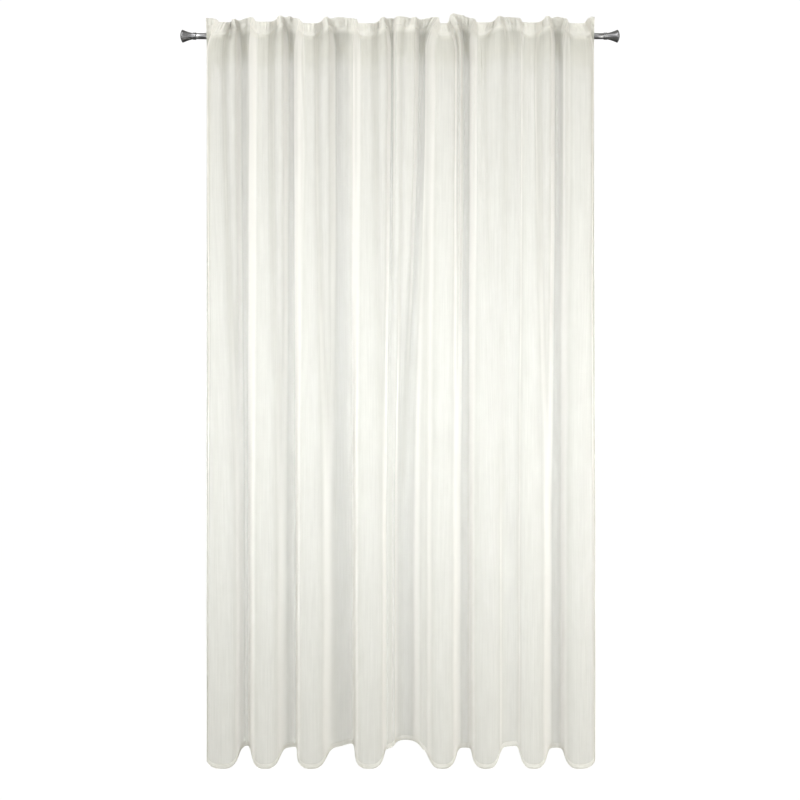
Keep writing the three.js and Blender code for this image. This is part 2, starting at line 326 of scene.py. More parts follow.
def strip_section(corner: float, count: int = 24) -> Array:
    """A strip's section with rounded corners: cosine and sine raised to a small power, signs kept.

    Args:
        corner: the power, which rounds the corners off less the smaller it is.
        count: number of points.

    Returns:
        Two rows, across the strip and through its thickness, both from -1 to 1.
    """
    turn = np.linspace(0, 2 * np.pi, count, endpoint=False)
    circle = np.stack([np.cos(turn), np.sin(turn)])
    return np.sign(circle) * np.abs(circle) ** corner


def spline_weights(places: Array, count: int) -> Array:
    """Weights of a uniform cubic B-spline on a row of guide lines.

    Each place lies in a span between two lines and takes its four nearest lines in the cubic basis. Past
    both ends a line is added that mirrors the second line through the first, so the curve starts and ends
    on them.

    Args:
        places: places counted in guide lines, from 0 to count - 1.
        count: number of guide lines.

    Returns:
        One row of weights for each place.
    """
    span = np.clip(np.floor(places).astype(int), 0, count - 2)
    part = places - span
    basis = np.stack(
        [
            (1 - part) ** 3,
            3 * part**3 - 6 * part**2 + 4,
            -3 * part**3 + 3 * part**2 + 3 * part + 1,
            part**3,
        ],
        axis=1,
    )
    padded = np.zeros((len(places), count + 2))
    np.put_along_axis(padded, span[:, None] + np.arange(4), basis / 6, axis=1)
    weights = padded[:, 1:-1].copy()
    weights[:, 0] += 2 * padded[:, 0]
    weights[:, 1] -= padded[:, 0]
    weights[:, -1] += 2 * padded[:, -1]
    weights[:, -2] -= padded[:, -1]
    return weights


def grid_quads(rows: int, columns: int, closed: bool = False) -> Array:
    """Corner indices of the quads of a grid stored row by row.

    Args:
        rows: number of rows of points.
        columns: number of points in a row.
        closed: whether the last row joins the first.

    Returns:
        One row of four indices for each quad.
    """
    first = np.arange(rows if closed else rows - 1)[:, None]
    column = np.arange(columns - 1)[None, :]
    here = first * columns + column
    below = (first + 1) % rows * columns + column
    return np.stack([here, below, below + 1, here + 1], axis=-1).reshape(-1, 4)


def mesh_object(name: str, points: Array, quads: Array, flat: Array | None = None) -> bpy.types.Object:
    """Makes a smooth-shaded mesh object at the origin.

    Args:
        name: name of the piece.
        points: one row of x, y and z for each vertex, in metres.
        quads: one row of vertex indices for each face.
        flat: one row of flat cloth coordinates for each vertex, in metres.

    Returns:
        The new object, linked to the scene.
    """
    mesh = bpy.data.meshes.new(name)
    mesh.from_pydata(points.tolist(), [], quads.tolist())
    mesh.polygons.foreach_set("use_smooth", np.ones(len(mesh.polygons), dtype=bool))
    if flat is not None:
        corners = np.empty(len(mesh.loops), dtype=np.int32)
        mesh.loops.foreach_get("vertex_index", corners)
        layer = mesh.uv_layers.new(name=CLOTH_MAP)
        layer.data.foreach_set("uv", flat[corners].astype(np.float32).ravel())
    mesh.update()
    piece = bpy.data.objects.new(name, mesh)
    bpy.context.scene.collection.objects.link(piece)
    return piece


def close_seams(piece: bpy.types.Object, distance: float = 1e-6) -> None:
    """Merges points that lie together and turns all faces outwards.

    Args:
        piece: a closed piece.
        distance: how near points are that count as one, in metres.
    """
    work = bmesh.new()
    work.from_mesh(piece.data)
    bmesh.ops.remove_doubles(work, verts=work.verts, dist=distance)
    bmesh.ops.recalc_face_normals(work, faces=work.faces)
    work.to_mesh(piece.data)
    work.free()


class NodeSheet:
    """Adds and joins the nodes of one node tree."""

    def __init__(self, tree: bpy.types.NodeTree) -> None:
        """Starts from an empty tree."""
        self.tree = tree
        self.tree.nodes.clear()

    def add(self, kind: str, inputs: dict[str | int, Any] | None = None, **settings: Any) -> bpy.types.Node:
        """Adds a node.

        Args:
            kind: the node's type name.
            inputs: values or other nodes' outputs for its inputs, by name or number.
            settings: values of the node's own properties.

        Returns:
            The new node.
        """
        node = self.tree.nodes.new(kind)
        for name, value in settings.items():
            setattr(node, name, value)
        for key, value in (inputs or {}).items():
            if isinstance(value, bpy.types.NodeSocket):
                self.tree.links.new(value, node.inputs[key])
            else:
                node.inputs[key].default_value = value
        return node

    def output(self, kind: str, inputs: dict[str | int, Any], **settings: Any) -> bpy.types.NodeSocket:
        """Adds a node and gives its first output."""
        return self.add(kind, inputs, **settings).outputs[0]

    def math(self, operation: str, first: Any, second: Any = 0.0, third: Any = 0.0) -> bpy.types.NodeSocket:
        """The output of a Math node on up to three numbers or outputs."""
        return self.output("ShaderNodeMath", {0: first, 1: second, 2: third}, operation=operation)

    def step(self, value: Any, start: float, end: float) -> bpy.types.NodeSocket:
        """A soft step from 0 to 1 as a value goes from start to end."""
        inputs = {"Value": value, "From Min": start, "From Max": end}
        return self.output("ShaderNodeMapRange", inputs, interpolation_type="SMOOTHSTEP")

    def fade(self, value: Any, start: float, end: float) -> bpy.types.NodeSocket:
        """A soft step from 1 to 0 as a value goes from start to end."""
        return self.math("SUBTRACT", 1.0, self.step(value, start, end))

    def layer(self, share: Any, first: Any, second: Any) -> bpy.types.NodeSocket:
        """The output of a mix of two shaders."""
        return self.output("ShaderNodeMixShader", {0: share, 1: first, 2: second})

    def blend(self, share: Any, first: Any, second: Any) -> bpy.types.NodeSocket:
        """The output of a colour mix of two colours."""
        node = self.add("ShaderNodeMix", data_type="RGBA")
        pairs = {"Factor_Float": share, "A_Color": first, "B_Color": second}
        for socket in node.inputs:
            if socket.identifier in pairs:
                value = pairs[socket.identifier]
                if isinstance(value, bpy.types.NodeSocket):
                    self.tree.links.new(value, socket)
                elif socket.identifier == "Factor_Float":
                    socket.default_value = value
                else:
                    socket.default_value = (*value, 1.0)
        return next(out for out in node.outputs if out.identifier == "Result_Color")


def new_material(name: str) -> tuple[bpy.types.Material, NodeSheet]:
    """A new material and the sheet for its nodes."""
    material = bpy.data.materials.new(name)
    material.use_nodes = True
    return material, NodeSheet(material.node_tree)


def weave_group() -> bpy.types.NodeTree:
    """The weave that the voile, the tape and the thread share.

    Warp and weft are two rows of round ridges, the sines of both flat coordinates over the thread's pitch,
    and the higher one shows. Slubs are noise drawn out along the warp, with fainter ones along the weft,
    and the cloud is slow noise for cloth that isn't dyed quite evenly.

    Returns:
        The node group, made once.
    """
    name = "weave"
    if name in bpy.data.node_groups:
        return bpy.data.node_groups[name]
    tree = bpy.data.node_groups.new(name, "ShaderNodeTree")
    tree.interface.new_socket("Flat", in_out="INPUT", socket_type="NodeSocketVector")
    tree.interface.new_socket("Pitch", in_out="INPUT", socket_type="NodeSocketFloat")
    for shown in ("Threads", "Slubs", "Cloud"):
        tree.interface.new_socket(shown, in_out="OUTPUT", socket_type="NodeSocketFloat")
    sheet = NodeSheet(tree)
    given = sheet.add("NodeGroupInput").outputs
    parts = sheet.add("ShaderNodeSeparateXYZ", {"Vector": given["Flat"]}).outputs
    ridges = []
    for axis in ("X", "Y"):
        turns = sheet.math("DIVIDE", parts[axis], given["Pitch"])
        wave = sheet.math("SINE", sheet.math("MULTIPLY", turns, math.pi))
        ridges.append(sheet.math("ABSOLUTE", wave))
    threads = sheet.math("MAXIMUM", *ridges)

    def noise(scale: tuple[float, float, float], detail: float) -> bpy.types.NodeSocket:
        """Noise on the flat cloth, stretched by its scale on each axis."""
        spread = sheet.output("ShaderNodeMapping", {"Vector": given["Flat"], "Scale": scale})
        inputs = {"Vector": spread, "Scale": 1.0, "Detail": detail, "Roughness": 0.6}
        return sheet.output("ShaderNodeTexNoise", inputs)

    weft_share = 0.12
    warp_slubs = noise((240.0, 5.0, 1.0), 3.0)
    weft_slubs = noise((6.0, 300.0, 1.0), 2.0)
    slubs = sheet.math("MULTIPLY", warp_slubs, 1 - weft_share)
    slubs = sheet.math("MULTIPLY_ADD", weft_slubs, weft_share, slubs)
    cloud = noise((26.0, 9.0, 1.0), 4.0)
    sheet.add("NodeGroupOutput", {"Threads": threads, "Slubs": slubs, "Cloud": cloud})
    return tree


def add_weave(sheet: NodeSheet, pitch: float) -> tuple[bpy.types.NodeSocket, Any]:
    """Adds the weave to a material.

    Args:
        sheet: the material's nodes.
        pitch: distance between threads, in metres.

    Returns:
        The flat cloth's coordinates, and the weave's outputs by name.
    """
    flat = sheet.add("ShaderNodeUVMap", uv_map=CLOTH_MAP).outputs[0]
    weave = sheet.add("ShaderNodeGroup", node_tree=weave_group())
    sheet.tree.links.new(flat, weave.inputs["Flat"])
    weave.inputs["Pitch"].default_value = pitch
    return flat, weave.outputs


@dataclass(frozen=True)
class VoileFinish:
    """Sheer cream voile: see-through between its threads, soft sheen, light glowing through from behind.

    Attributes:
        pale, deep: colours of its lightest and most shaded yarn.
        hem_colour: colour where two layers lie on each other.
        painted_sheen_colour, turn_kept: a near-white colour that replaces the threads' colour where the
            cloth turns away, a painted sheen that makes the lobes' edges bright, and the share of its own
            direction that those threads keep there.
        painted_sheen_turn: how far the cloth is turned away where the painted sheen starts and where it is
            complete.
        opacity: share of the cloth that its threads cover, seen square on.
        heading_opacity: the same where gathering draws the threads together.
        slub_cover: how much more of it the slubs cover.
        turn_power: how fast the gaps between the threads close as the cloth turns away.
        glow: share of the light that passes through the threads.
        pitch: distance between threads, in metres.
        cloud_share, tone_range: weight of the cloud beside the slubs, and the sums that are deep and pale.
        heading_fade, tape_fade, hem_start: where the gathered heading and the doubled cloth at the tape
            fade out and the hem's second layer starts, in metres below the top edge.
        tape_share: how much of the second layer's colour shows in front of the tape.
    """

    pale: Colour = (0.71, 0.705, 0.655)
    deep: Colour = (0.62, 0.615, 0.56)
    hem_colour: Colour = (0.865, 0.86, 0.82)
    painted_sheen_colour: Colour = (0.965, 0.95, 0.9)
    turn_kept: float = 0.35
    painted_sheen_turn: Span = (0.24, 0.58)
    opacity: float = 0.75
    heading_opacity: float = 0.975
    slub_cover: float = 0.1
    turn_power: float = 0.8
    glow: float = 0.42
    pitch: float = 0.0009
    cloud_share: float = 0.7
    tone_range: Span = (0.3, 1.4)
    heading_fade: Span = (0.1, 0.19)
    tape_fade: Span = (0.038, 0.058)
    hem_start: Span = (2.4325, 2.4365)
    tape_share: float = 0.9

    def material(self) -> bpy.types.Material:
        """Builds the cloth's material.

        Returns:
            A mix of see-through and thread, denser where the cloth turns away, in the heading and at slubs,
            with a painted sheen of near-white threads where it turns away.
        """
        material, sheet = new_material("voile")
        flat, weave = add_weave(sheet, self.pitch)
        down = sheet.add("ShaderNodeSeparateXYZ", {"Vector": flat}).outputs["Y"]
        tone = sheet.math("MULTIPLY_ADD", weave["Cloud"], self.cloud_share, weave["Slubs"])
        plain = sheet.blend(sheet.step(tone, *self.tone_range), self.deep, self.pale)
        at_tape = sheet.math("MULTIPLY", sheet.fade(down, *self.tape_fade), self.tape_share)
        doubled = sheet.math("MAXIMUM", sheet.step(down, *self.hem_start), at_tape)
        yarn = sheet.blend(doubled, plain, self.hem_colour)
        relief = {"Strength": 0.25, "Distance": 0.0004, "Height": weave["Threads"]}
        threads = sheet.output(
            "ShaderNodeBsdfPrincipled",
            {
                "Base Color": yarn,
                "Roughness": 0.8,
                "Specular IOR Level": 0.25,
                "Sheen Weight": 0.55,
                "Sheen Roughness": 0.4,
                "Normal": sheet.output("ShaderNodeBump", relief),
            },
        )
        through = sheet.output("ShaderNodeBsdfTranslucent", {"Color": yarn})
        face = sheet.layer(self.glow, threads, through)
        # Painted sheen: where the cloth turns away from the viewer its threads take a near-white colour,
        # lit as if they faced the room, so the lobes' edges show as bright lines.
        painted_sheen = (*self.painted_sheen_colour, 1.0)
        upright = self.thread_normal(sheet)
        painted_sheen_diffuse = sheet.output("ShaderNodeBsdfDiffuse", {"Color": painted_sheen, "Normal": upright})
        painted_sheen_glow = sheet.output("ShaderNodeBsdfTranslucent", {"Color": painted_sheen})
        edge = sheet.layer(0.5, painted_sheen_diffuse, painted_sheen_glow)
        # The painted sheen is blended in by how far the surface turns away from the viewer.
        turned = sheet.add("ShaderNodeLayerWeight", {"Blend": 0.5}).outputs["Facing"]
        lit = sheet.layer(sheet.step(turned, *self.painted_sheen_turn), face, edge)
        gathered = sheet.fade(down, *self.heading_fade)
        cover = sheet.math("MULTIPLY_ADD", gathered, self.heading_opacity - self.opacity, self.opacity)
        slubs = sheet.math("SUBTRACT", weave["Slubs"], 0.5)
        cover = sheet.math("MULTIPLY_ADD", slubs, self.slub_cover, cover)
        gaps = sheet.math("SUBTRACT", 1.0, cover)
        square = sheet.math("POWER", sheet.math("SUBTRACT", 1.0, turned), self.turn_power)
        clear = sheet.output("ShaderNodeBsdfTransparent", {})
        cloth = sheet.layer(sheet.math("MULTIPLY", gaps, square), lit, clear)
        sheet.add("ShaderNodeOutputMaterial", {"Surface": cloth})
        return material

    def thread_normal(self, sheet: NodeSheet) -> bpy.types.NodeSocket:
        """The way that upright threads face where the cloth turns away from the room.

        Round threads catch light from the room or the window however the cloth between them is turned, so
        the surface's direction is kept to a small share and the side that is seen is added to it.

        Args:
            sheet: the material's nodes.

        Returns:
            A direction of length one.
        """
        normal = sheet.add("ShaderNodeNewGeometry").outputs["Normal"]
        parts = sheet.add("ShaderNodeSeparateXYZ", {"Vector": normal}).outputs
        inputs = {
            "X": sheet.math("MULTIPLY", parts["X"], self.turn_kept),
            "Y": sheet.math("SIGN", parts["Y"]),
            "Z": sheet.math("MULTIPLY", parts["Z"], self.turn_kept),
        }
        facing = sheet.output("ShaderNodeCombineXYZ", inputs)
        return sheet.output("ShaderNodeVectorMath", {0: facing}, operation="NORMALIZE")


@dataclass(frozen=True)
class WovenFinish:
    """Dense white cotton: heading tape, tabs and sewing thread.

    Attributes:
        name: name of the material.
        pale, deep: colours of its threads' crowns and of the gaps between them, the gaps darker as painted
            shade.
        pitch: distance between threads, in metres.
        relief: depth of the weave, in metres.
        ridge_shade_share, slub_share, tone_range: weights of the painted shade between the threads and of
        the slubs, and the sums that are deep and pale.
        glow: share of the light that passes through.
    """

    name: str
    pale: Colour = (0.88, 0.87, 0.82)
    deep: Colour = (0.74, 0.73, 0.67)
    pitch: float = 0.0011
    relief: float = 0.0005
    ridge_shade_share: float = 0.5
    slub_share: float = 0.6
    tone_range: Span = (0.2, 0.8)
    glow: float = 0.3

    def material(self) -> bpy.types.Material:
        """Builds the woven material, with light glowing a little through it.

        Returns:
            The material.
        """
        material, sheet = new_material(self.name)
        _, weave = add_weave(sheet, self.pitch)
        # Painted shade: the colour follows the weave's height, paler on the threads' crowns and darker in
        # the gaps between them, on top of the slubs' random tone.
        ridges = sheet.math("MULTIPLY", weave["Threads"], self.ridge_shade_share)
        tone = sheet.math("MULTIPLY_ADD", weave["Slubs"], self.slub_share, ridges)
        yarn = sheet.blend(sheet.step(tone, *self.tone_range), self.deep, self.pale)
        relief = {"Strength": 0.5, "Distance": self.relief, "Height": weave["Threads"]}
        threads = sheet.output(
            "ShaderNodeBsdfPrincipled",
            {
                "Base Color": yarn,
                "Roughness": 0.85,
                "Sheen Weight": 0.3,
                "Sheen Roughness": 0.5,
                "Normal": sheet.output("ShaderNodeBump", relief),
            },
        )
        through = sheet.output("ShaderNodeBsdfTranslucent", {"Color": yarn})
        sheet.add("ShaderNodeOutputMaterial", {"Surface": sheet.layer(self.glow, threads, through)})
        return material


@dataclass(frozen=True)
class SatinSteelFinish:
    """Satin grey metal with fine lines drawn along the rod and a little cloudiness.

    Attributes:
        pale, deep: colours of the lines.
        roughness: lowest and highest roughness.
        line_scale, cloud_scale: fineness of the lines along and across the rod, and of the cloudiness.
        cloud_share, tone_range: weight of the cloudiness, and the sums that are deep and pale.
    """

    pale: Colour = (0.4, 0.4, 0.41)
    deep: Colour = (0.26, 0.26, 0.27)
    roughness: Span = (0.3, 0.44)
    line_scale: Span = (12.0, 1500.0)
    cloud_scale: float = 45.0
    cloud_share: float = 0.4
    tone_range: Span = (0.3, 0.7)

    def material(self) -> bpy.types.Material:
        """Builds the metal.

        Returns:
            The material, which reads Object coordinates with X along the rod.
        """
        material, sheet = new_material("satin_steel")
        place = sheet.add("ShaderNodeTexCoord").outputs["Object"]
        along, across = self.line_scale
        drawn = sheet.output("ShaderNodeMapping", {"Vector": place, "Scale": (along, across, across)})
        lines = sheet.output("ShaderNodeTexNoise", {"Vector": drawn, "Scale": 1.0, "Detail": 3.0})
        spots = {"Vector": place, "Scale": self.cloud_scale, "Detail": 2.0}
        cloud = sheet.output("ShaderNodeTexNoise", spots)
        tone = sheet.math("MULTIPLY", lines, 1 - self.cloud_share)
        tone = sheet.math("MULTIPLY_ADD", cloud, self.cloud_share, tone)
        low, high = self.roughness
        scratches = {"Strength": 0.12, "Distance": 0.0002, "Height": lines}
        metal = sheet.output(
            "ShaderNodeBsdfPrincipled",
            {
                "Base Color": sheet.blend(sheet.step(tone, *self.tone_range), self.deep, self.pale),
                "Metallic": 1.0,
                "Roughness": sheet.math("MULTIPLY_ADD", lines, high - low, low),
                "Normal": sheet.output("ShaderNodeBump", scratches),
            },
        )
        sheet.add("ShaderNodeOutputMaterial", {"Surface": metal})
        return material


def dress(
    piece: bpy.types.Object,
    material: bpy.types.Material,
    nodes: tuple[str, ...] = (),
) -> None:
    """Gives a piece its finish and ties it to the frame.

    Args:
        piece: the piece.
        material: its finish.
        nodes: the CAD nodes that it stands for.
    """
    piece.data.materials.clear()
    piece.data.materials.append(material)
    if nodes:
        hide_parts(*nodes)
    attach(piece, BODY)


@dataclass
class FoldSurface:
    """The hung cloth as a function of two parameters: across it in guide lines, and down in millimetres.

    Attributes:
        drop: length of the finished cloth.
        hem_level, front_droop: height of the hem at the back folds, and how much lower the lobes hang.
        hem_crispness: how far the lobes' ends at the hem are squared off.
        upper_at, lower_at: how far down the sections of the upper body and the hem are reached.
        backs, fronts: distance of the folds' backs and fronts from the rod's axis in the three sections.
        corner_share, corner_inset: how the lobes' corners are rounded off at the hem, as a share of the
            lobe's reach and a distance inside its ends.
        gather_pitch, gather_height, gather_drift: the fine gathers of the heading, and how they wander.
        gather_mean, gather_draw: how much they are drawn up on the whole, and how unevenly.
        gather_rows, gather_loss: the rows between which the gathers lose most of their height and then the
            rest, and the share that they lose first.
        puff_at, puff_half, puff_height: the soft roll where the cloth swells out over the tape's lower
            edge, higher up on the ruffles than on the lobes.
        puff_on_ruffle, puff_wave: the roll's share on the ruffles, and its unevenness.
        lip_height, lip_half: how the lobes' top edge leans towards the room.
        ear_height, ear_half, ear_rows: the rounded ears at the ruffles' peaks, and where they end.
        ear_crease: distance and half width of the crease before an ear, in halves of an ear, and its share
            of the ear's height.
        pleat_pitch, pleat_height, pleat_drift: the soft pleats that run down from the heading, and how
            they wander.
        pleat_start, pleat_end: the rows between which they rise and fade out.
        crumple_height, crumple_pitch, crumple_drift, crumple_rows: height of the ruffles' crumples, their
            spacing across, down and on the slant, how they wander and where they end.
        slack_height, slack_pitch, slack_rows: height of the slow waves in the cloth, the spacing across and
            down of the two sines that make them, and where they start.
        lines, count: the guide lines from left to right, and how many they are.
        fine_across, fine_along: closely spaced places across the cloth, and their distances along it.
    """

    drop: float = 2450.0
    hem_level: float = -2390.0
    front_droop: float = 54.0
    hem_crispness: float = 0.85
    upper_at: float = 110.0
    lower_at: float = 1850.0
    backs: tuple[float, float, float] = (-13.0, -13.0, -4.0)
    fronts: tuple[float, float, float] = (-70.0, -74.0, -76.0)
    corner_share: float = 0.9
    corner_inset: float = 16.0
    gather_pitch: float = 12.5
    gather_height: float = 3.0
    gather_drift: tuple[Wave, ...] = (Wave(0.42, 23.0, 1.0), Wave(0.3, 9.7))
    gather_mean: float = 0.55
    gather_draw: tuple[Wave, ...] = (Wave(0.3, 37.0, 0.7), Wave(0.15, 15.0, 2.0))
    gather_rows: tuple[float, float, float] = (20.0, 36.0, 150.0)
    gather_loss: float = 0.75
    puff_at: Span = (24.0, 41.0)
    puff_half: float = 5.5
    puff_height: float = 5.6
    puff_on_ruffle: float = 0.4
    puff_wave: Wave = Wave(0.15, 19.0)
    lip_height: float = 3.0
    lip_half: float = 9.0
    ear_height: float = 4.4
    ear_half: float = 7.0
    ear_rows: Span = (22.0, 46.0)
    ear_crease: tuple[float, float, float] = (2.0, 0.45, 0.5)
    pleat_pitch: float = 33.0
    pleat_height: float = 0.7
    pleat_drift: tuple[Wave, ...] = (Wave(0.35, 51.0), Wave(0.2, 27.0, 1.3))
    pleat_start: Span = (45.0, 120.0)
    pleat_end: Span = (350.0, 1100.0)
    crumple_height: float = 1.6
    crumple_pitch: tuple[float, float, float] = (5.3, 11.0, 17.0)
    crumple_drift: Wave = Wave(0.6, 9.0)
    crumple_rows: Span = (30.0, 65.0)
    slack_height: float = 0.9
    slack_pitch: tuple[Span, Span] = ((31.0, 210.0), (83.0, 160.0))
    slack_rows: Span = (60.0, 500.0)
    lines: Array = field(init=False)
    count: int = field(init=False)
    fine_across: Array = field(init=False)
    fine_along: Array = field(init=False)

    def __post_init__(self) -> None:
        """Lays out the guide lines from the left edge to the right one."""
        guides = list(LEFT_EDGE)
        for index, fold in enumerate(FRONT_FOLDS):
            guides += self.front_guides(fold)
            if index < len(BACK_FOLDS):
                guides += self.back_guides(index)
        guides += RIGHT_EDGE
        self.lines = np.array(guides, dtype=float)
        self.count = len(guides)
        places_per_line = 12
        self.fine_across = np.linspace(0, self.count - 1, places_per_line * self.count)
        section = self.plain(self.fine_across, np.array([0.0, self.drop])).mean(axis=0)
        self.fine_along = path_lengths(section[:, :2])

    @property
    def width(self) -> float:
        """Width of the flat cloth between its side edges, in millimetres."""
        return float(self.fine_along[-1])

    def front_guides(self, fold: FrontFold) -> list[Guide]:
        """Three guide lines over a lobe: its left corner, its middle and its right corner."""
        rounding = (self.corner_share, 1.0, self.corner_share)
        droops = (fold.left_droop, fold.middle_droop, fold.right_droop)
        guides = []
        for across, share, droop in zip((0.0, 0.5, 1.0), rounding, droops):
            inset = self.corner_inset * fold.lower_reach * (1 - 2 * across)
            guides.append(
                Guide(
                    head=mix(fold.head_left, fold.head_right, across),
                    head_share=fold.reach,
                    top=fold.top,
                    upper=mix(fold.upper_left, fold.upper_right, across),
                    upper_share=fold.reach,
                    lower=mix(fold.lower_left, fold.lower_right, across) + inset,
                    lower_share=fold.lower_reach * share,
                    droop=droop,
                )
            )
        return guides

    def back_guides(self, index: int) -> list[Guide]:
        """Seven guide lines of a back fold, from the wall after one lobe to the wall before the next.

        Args:
            index: number of the back fold from the left.

        Returns:
            The lines from left to right. The ruffle's hollow and peak run on below as a valley and a ridge,
            and at the hem the walls follow how far the lobes beside them come forward and droop.
        """
        fold, before, after = BACK_FOLDS[index], FRONT_FOLDS[index], FRONT_FOLDS[index + 1]

        def guide(
            line: BackLine,
            head: float,
            top: float,
            places: tuple[float, float],
            reach: float,
            hem: tuple[float, float] = (1.0, 1.0),
        ) -> Guide:
            """One line, which stands forward and droops by a share of what the lobe beside it does."""
            upper, lower = places
            hem_reach, hem_droop = hem
            tilt = fold.tilt * line.across**2
            return Guide(
                head=head,
                head_share=line.head * reach,
                top=top,
                upper=upper,
                upper_share=mix(1 - fold.upper_sink, reach, line.upper),
                lower=lower,
                lower_share=mix(1 - fold.lower_sink, hem_reach, line.lower + tilt),
                droop=mix(1 - fold.rise, hem_droop, line.droop) - fold.lean * line.lift,
            )

        heads = (fold.peak, fold.notch, fold.second, fold.flat, fold.flat_end)
        hem_before = (before.lower_reach, before.right_droop)
        hem_after = (after.lower_reach, after.left_droop)
        hems = (hem_before, (1.0, 1.0), (1.0, 1.0), (1.0, 1.0), hem_after)
        uppers = [mix(before.upper_right, fold.upper_left, RIDGE_PLACE)]
        uppers += [mix(fold.upper_left, fold.upper_right, share) for share in (0, 1 / 3, 2 / 3, 1)]
        ruffle = []
        for line, head, top, upper, hem in zip(RUFFLE_LINES, heads, fold.tops, uppers, hems):
            lower = mix(fold.lower_left, fold.lower_right, line.across)
            ruffle.append(guide(line, head, top, (upper, lower), 1.0, hem))
        hollow = guide(
            HOLLOW_WALL,
            fold.hollow,
            mix(before.top, fold.tops[0], 0.5),
            (mix(before.upper_right, fold.upper_left, VALLEY_PLACE), before.lower_right),
            before.reach,
            hem_before,
        )
        left_wall = guide(
            LEFT_WALL,
            mix(fold.flat_end, after.head_left, 0.5),
            mix(fold.tops[-1], after.top, 0.5),
            (mix(fold.upper_right, after.upper_left, 0.5), after.lower_left),
            after.reach,
            hem_after,
        )
        return [hollow, *ruffle, left_wall]

    def plain(self, across: Array, down: Array) -> Array:
        """The smooth folds, without gathers or creases.

        At each distance down, a guide line's place is eased from the heading's section to the upper one and
        on to the hem's, its height runs evenly from its top to its hem, and the spline joins the lines. The
        droop at the hem takes a share of a soft step, so that the lobes' ends have steep sides.

        Args:
            across: places across the cloth, in guide lines.
            down: distances below the top edge, in millimetres.

        Returns:
            Points of the grid, rows by columns by three, in millimetres.
        """
        head_x, head_share, top, upper_x, upper_share, lower_x, lower_share, droop = self.lines.T
        shares = (head_share, upper_share, lower_share)
        depths = [mix(back, front, share) for back, front, share in zip(self.backs, self.fronts, shares)]
        to_upper = settle(down, self.upper_at)[:, None]
        to_lower = ease(down, self.upper_at, self.lower_at)[:, None]
        x = mix(mix(head_x, upper_x, to_upper), lower_x, to_lower)
        y = mix(mix(depths[0], depths[1], to_upper), depths[2], to_lower)
        weights = spline_weights(across, self.count)
        plan = np.einsum("cn,rnk->rck", weights, np.stack([x, y], axis=-1))
        hangs = weights @ droop
        hangs = hangs + self.hem_crispness * (ease(hangs, 0.0, 1.0) - np.clip(hangs, 0, 1))
        hem = self.hem_level - self.front_droop * hangs
        z = mix(weights @ top, hem, (down / self.drop)[:, None])
        return np.concatenate([plan, z[:, :, None]], axis=-1)

    def rearmost(self, rows: tuple[float, ...], start: float, end: float) -> float:
        """The place nearest the wall that the folds reach on some rows between two places along the rod."""
        points = self.plain(self.fine_across, np.array(rows))
        inside = (points[:, :, 0] >= start) & (points[:, :, 0] <= end)
        return float(points[:, :, 1][inside].max())

    def along(self, across: Array) -> Array:
        """Millimetres of flat cloth from the left edge to each place across."""
        return np.interp(across, self.fine_across, self.fine_along)

    def across_at(self, along: Array) -> Array:
        """Places across the cloth, in guide lines, at distances along the flat cloth."""
        return np.interp(along, self.fine_along, self.fine_across)

    def heading_relief(self, along: Array, down: Array) -> Array:
        """The heading's larger shapes: a roll under the gathers, a lip, ears at the peaks, and crumples.

        The roll is a bell curve down the cloth whose middle sinks on the lobes, so it hangs in shallow
        curves, and the lip is half of one at the top edge. Ears are bell curves across the cloth at the
        peaks, with a crease before each, and crumples are products of sines that fade out on the lobes and
        below the tape.

        Args:
            along: distances along the flat cloth, in millimetres.
            down: distances below the top edge, in millimetres.

        Returns:
            How far the cloth stands towards the room, rows by columns, in millimetres.
        """
        lobe = np.clip(spline_weights(self.across_at(along), self.count) @ self.lines[:, 1], 0, 1)[None, :]
        below, beside = down[:, None], along[None, :]
        roll = self.puff_height * bell((below - mix(*self.puff_at, lobe)) / self.puff_half)
        uneven = 1 - self.puff_wave.height + waves(beside, self.puff_wave)
        stands = roll * mix(self.puff_on_ruffle, 1, lobe) * uneven
        stands += self.lip_height * lobe * bell(below / self.lip_half)
        peaks = self.along(np.arange(len(BACK_FOLDS)) * LINES_PER_FOLD + FIRST_PEAK)[:, None]
        away = (along - peaks) / self.ear_half
        before, half, share = self.ear_crease
        ears = bell(away) - share * bell((away + before) / half)
        stands += self.ear_height * (1 - ease(below, *self.ear_rows)) * ears.sum(axis=0)
        narrow, tall, slant = self.crumple_pitch
        folds = np.sin(beside / narrow + waves(below, self.crumple_drift))
        folds = folds * np.sin(below / tall + beside / slant)
        return stands + self.crumple_height * (1 - lobe) * folds * (1 - ease(below, *self.crumple_rows))

